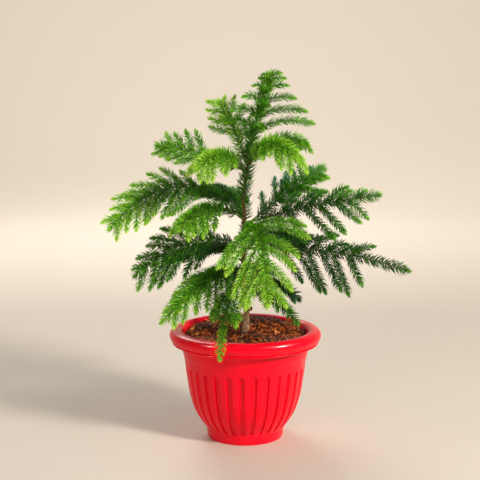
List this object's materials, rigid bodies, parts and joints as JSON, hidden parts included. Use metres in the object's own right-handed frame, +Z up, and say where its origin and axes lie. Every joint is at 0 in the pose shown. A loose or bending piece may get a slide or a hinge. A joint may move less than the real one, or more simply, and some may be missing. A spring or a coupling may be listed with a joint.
{
  "type": "potted norfolk island pine",
  "caption": "Young Norfolk island pine with a leaning leader and whorls of drooping needled fronds, in a fluted, wide-rimmed plastic pot filled with bark compost.",
  "frame": {"origin": "centre of the pot's flat underside", "axes": "+Z up along the plant, -Y towards the viewer of the picture, +X to the viewer's right"},
  "size_m": [0.4002, 0.3079, 0.484],
  "materials": {
    "pot_plastic": "semi-gloss moulded plastic",
    "bark_compost": "rough damp bark and coir chips",
    "trunk_bark": "matt young bark",
    "bough_bark": "matt green-brown young bark",
    "needles_leader": "satin fresh green needles",
    "needles_crown": "satin bright green needles",
    "needles_middle": "satin mid green needles",
    "needles_lower": "satin dark green needles",
    "needles_base": "satin bluish green needles"
  },
  "bodies": {
    "root": {"pot": "pot_plastic", "soil": "bark_compost", "trunk": "trunk_bark", "bough_crown_left": "bough_bark", "bough_crown_rear": "bough_bark", "bough_crown_front": "bough_bark", "bough_crown_right": "bough_bark", "bough_crown_back": "bough_bark", "bough_middle_left": "bough_bark", "bough_middle_front": "bough_bark", "bough_middle_right": "bough_bark", "bough_middle_back": "bough_bark", "bough_middle_near": "bough_bark", "bough_middle_rear": "bough_bark", "bough_lower_left": "bough_bark", "bough_lower_right": "bough_bark", "bough_lower_rear": "bough_bark", "bough_lower_back": "bough_bark", "bough_base_left": "bough_bark", "bough_base_front": "bough_bark", "bough_base_right": "bough_bark", "bough_base_side": "bough_bark", "bough_base_back": "bough_bark", "bough_base_rear": "bough_bark", "foliage_leader": "needles_leader", "foliage_crown_left": "needles_crown", "foliage_crown_rear": "needles_crown", "foliage_crown_front": "needles_crown", "foliage_crown_right": "needles_crown", "foliage_crown_back": "needles_crown", "foliage_middle_left": "needles_middle", "foliage_middle_front": "needles_middle", "foliage_middle_right": "needles_middle", "foliage_middle_back": "needles_middle", "foliage_middle_near": "needles_middle", "foliage_middle_rear": "needles_middle", "foliage_lower_left": "needles_lower", "foliage_lower_right": "needles_lower", "foliage_lower_rear": "needles_lower", "foliage_lower_back": "needles_lower", "foliage_base_left": "needles_base", "foliage_base_front": "needles_base", "foliage_base_right": "needles_base", "foliage_base_side": "needles_base", "foliage_base_back": "needles_base", "foliage_base_rear": "needles_base"}
  },
  "joints": []
}
